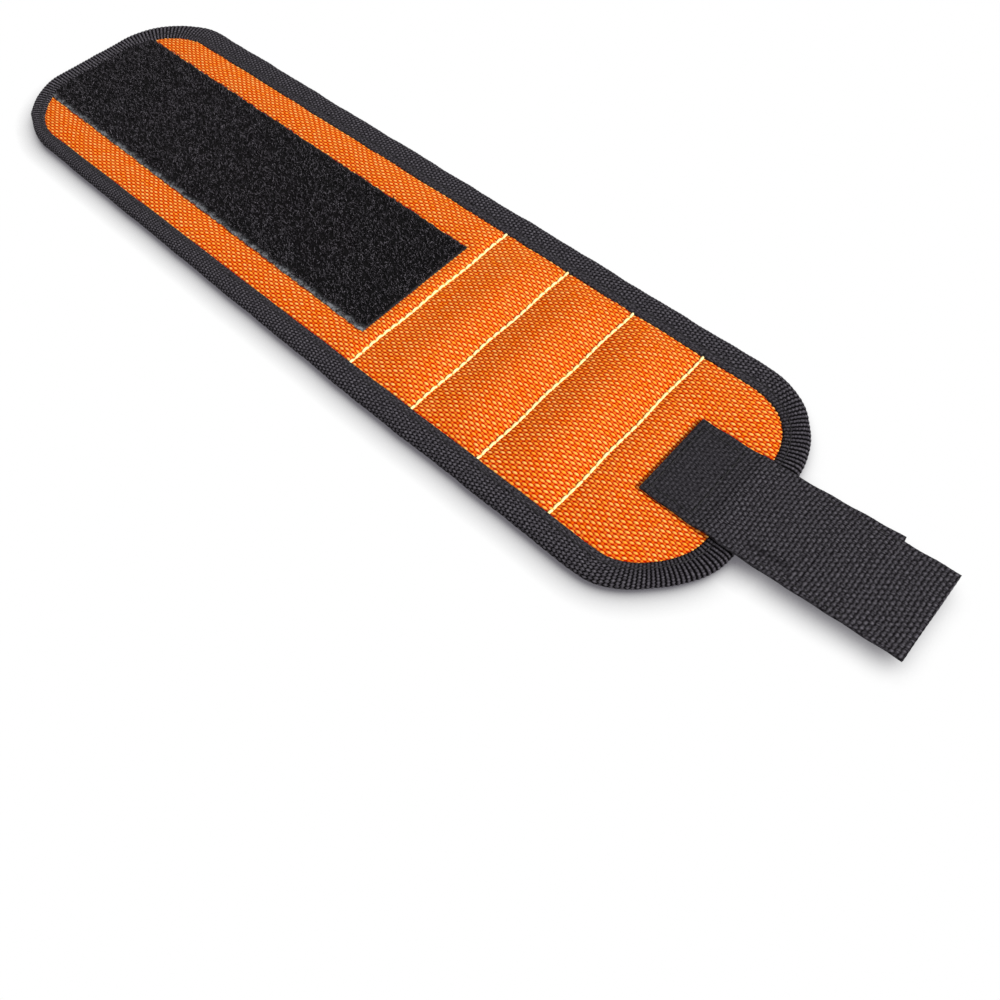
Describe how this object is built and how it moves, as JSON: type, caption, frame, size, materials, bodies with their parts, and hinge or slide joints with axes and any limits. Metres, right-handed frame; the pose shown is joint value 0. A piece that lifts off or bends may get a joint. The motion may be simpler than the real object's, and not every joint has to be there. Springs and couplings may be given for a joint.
{
  "type": "magnetic wristband",
  "caption": "Soft tool wristband: a bound fabric band with sewn magnet pockets, a loop-tape panel and a hook-tape closing strap.",
  "frame": {"origin": "under the middle of the open band, strap included, on the surface it lies on", "axes": "+X along the band from the loop end to the strap, +Y across the band, +Z out of the outer face"},
  "size_m": [0.3782, 0.09, 0.0056],
  "materials": {
    "shell_fabric": "coarse plain-weave nylon, slight sheen",
    "lining_mesh": "matt padded mesh",
    "binding_tape": "ribbed tape, matt",
    "loop_pile": "brushed loop pile",
    "strap_webbing": "ribbed webbing, matt",
    "hook_tape": "moulded nylon hooks",
    "magnet_plating": "bright nickel plate"
  },
  "bodies": {
    "loop_panel_1": {"loop_panel_1_binding": "binding_tape", "loop_panel_1_lining": "lining_mesh", "loop_panel_1_loop_tape": "loop_pile", "loop_panel_1_shell": "shell_fabric"},
    "loop_panel_2": {"loop_panel_2_binding_front": "binding_tape", "loop_panel_2_binding_rear": "binding_tape", "loop_panel_2_lining": "lining_mesh", "loop_panel_2_loop_tape": "loop_pile", "loop_panel_2_shell": "shell_fabric"},
    "loop_panel_3": {"loop_panel_3_binding_front": "binding_tape", "loop_panel_3_binding_rear": "binding_tape", "loop_panel_3_lining": "lining_mesh", "loop_panel_3_loop_tape": "loop_pile", "loop_panel_3_shell": "shell_fabric"},
    "loop_panel_4": {"loop_panel_4_binding_front": "binding_tape", "loop_panel_4_binding_rear": "binding_tape", "loop_panel_4_lining": "lining_mesh", "loop_panel_4_loop_tape": "loop_pile", "loop_panel_4_shell": "shell_fabric"},
    "loop_panel_5": {"loop_panel_5_binding_front": "binding_tape", "loop_panel_5_binding_rear": "binding_tape", "loop_panel_5_lining": "lining_mesh", "loop_panel_5_loop_tape": "loop_pile", "loop_panel_5_shell": "shell_fabric"},
    "pocket_1": {"pocket_1_binding_front": "binding_tape", "pocket_1_binding_rear": "binding_tape", "pocket_1_lining": "lining_mesh", "pocket_1_magnet_1": "magnet_plating", "pocket_1_magnet_2": "magnet_plating", "pocket_1_magnet_3": "magnet_plating", "pocket_1_magnet_4": "magnet_plating", "pocket_1_magnet_5": "magnet_plating", "pocket_1_shell": "shell_fabric"},
    "pocket_2": {"pocket_2_binding_front": "binding_tape", "pocket_2_binding_rear": "binding_tape", "pocket_2_lining": "lining_mesh", "pocket_2_magnet_1": "magnet_plating", "pocket_2_magnet_2": "magnet_plating", "pocket_2_magnet_3": "magnet_plating", "pocket_2_magnet_4": "magnet_plating", "pocket_2_magnet_5": "magnet_plating", "pocket_2_shell": "shell_fabric"},
    "pocket_3": {"pocket_3_binding_front": "binding_tape", "pocket_3_binding_rear": "binding_tape", "pocket_3_lining": "lining_mesh", "pocket_3_magnet_1": "magnet_plating", "pocket_3_magnet_2": "magnet_plating", "pocket_3_magnet_3": "magnet_plating", "pocket_3_magnet_4": "magnet_plating", "pocket_3_magnet_5": "magnet_plating", "pocket_3_shell": "shell_fabric"},
    "strap_panel": {"strap_panel_binding": "binding_tape", "strap_panel_lining": "lining_mesh", "strap_panel_shell": "shell_fabric", "strap_sewn_end": "strap_webbing"},
    "strap_free": {"strap_free_length": "strap_webbing", "hook_tape": "hook_tape"},
    "pull_tab": {"strap_pull_tab": "strap_webbing"}
  },
  "joints": [
    {"name": "pocket_3_fold", "type": "hinge", "parent": "pocket_2", "child": "pocket_3", "pos_m": [0.06634, 0, 0], "axis": [0, 1, 0], "range_deg": [0, 32.8]},
    {"name": "pocket_1_fold", "type": "hinge", "parent": "pocket_2", "child": "pocket_1", "pos_m": [0.03874, 0, 0], "axis": [0, -1, 0], "range_deg": [0, 32.8]},
    {"name": "loop_5_fold", "type": "hinge", "parent": "pocket_1", "child": "loop_panel_5", "pos_m": [0.01114, 0, 0], "axis": [0, -1, 0], "range_deg": [0, 40.1]},
    {"name": "strap_panel_fold", "type": "hinge", "parent": "pocket_3", "child": "strap_panel", "pos_m": [0.09394, 0, 0], "axis": [0, 1, 0], "range_deg": [0, 46.3]},
    {"name": "loop_4_bend", "type": "hinge", "parent": "loop_panel_5", "child": "loop_panel_4", "pos_m": [-0.02716, 0, 0], "axis": [0, -1, 0], "range_deg": [0, 50.4]},
    {"name": "loop_3_bend", "type": "hinge", "parent": "loop_panel_4", "child": "loop_panel_3", "pos_m": [-0.06546, 0, 0], "axis": [0, -1, 0], "range_deg": [0, 50.4]},
    {"name": "loop_2_bend", "type": "hinge", "parent": "loop_panel_3", "child": "loop_panel_2", "pos_m": [-0.10376, 0, 0], "axis": [0, -1, 0], "range_deg": [0, 50.4]},
    {"name": "loop_1_bend", "type": "hinge", "parent": "loop_panel_2", "child": "loop_panel_1", "pos_m": [-0.14206, 0, 0], "axis": [0, -1, 0], "range_deg": [0, 55.5]},
    {"name": "strap_bend", "type": "hinge", "parent": "strap_panel", "child": "strap_free", "pos_m": [0.14251, 0.00363, 0.0049], "axis": [-0.0436, 0.999, 0], "range_deg": [-80, 58], "stiffness_Nm_per_rad": 0.05},
    {"name": "tab_peel", "type": "hinge", "parent": "strap_free", "child": "pull_tab", "pos_m": [0.17188, 0.00491, 0.0049], "axis": [0.0436, -0.999, 0], "range_deg": [0, 80], "stiffness_Nm_per_rad": 0.05}
  ],
  "couplings": [
    {"joint": "pocket_1_fold", "follows": "pocket_3_fold", "ratio": 1},
    {"joint": "loop_5_fold", "follows": "pocket_3_fold", "ratio": 1.22},
    {"joint": "strap_panel_fold", "follows": "pocket_3_fold", "ratio": 1.41},
    {"joint": "loop_3_bend", "follows": "loop_4_bend", "ratio": 1},
    {"joint": "loop_2_bend", "follows": "loop_4_bend", "ratio": 1},
    {"joint": "loop_1_bend", "follows": "loop_4_bend", "ratio": 1.1}
  ]
}
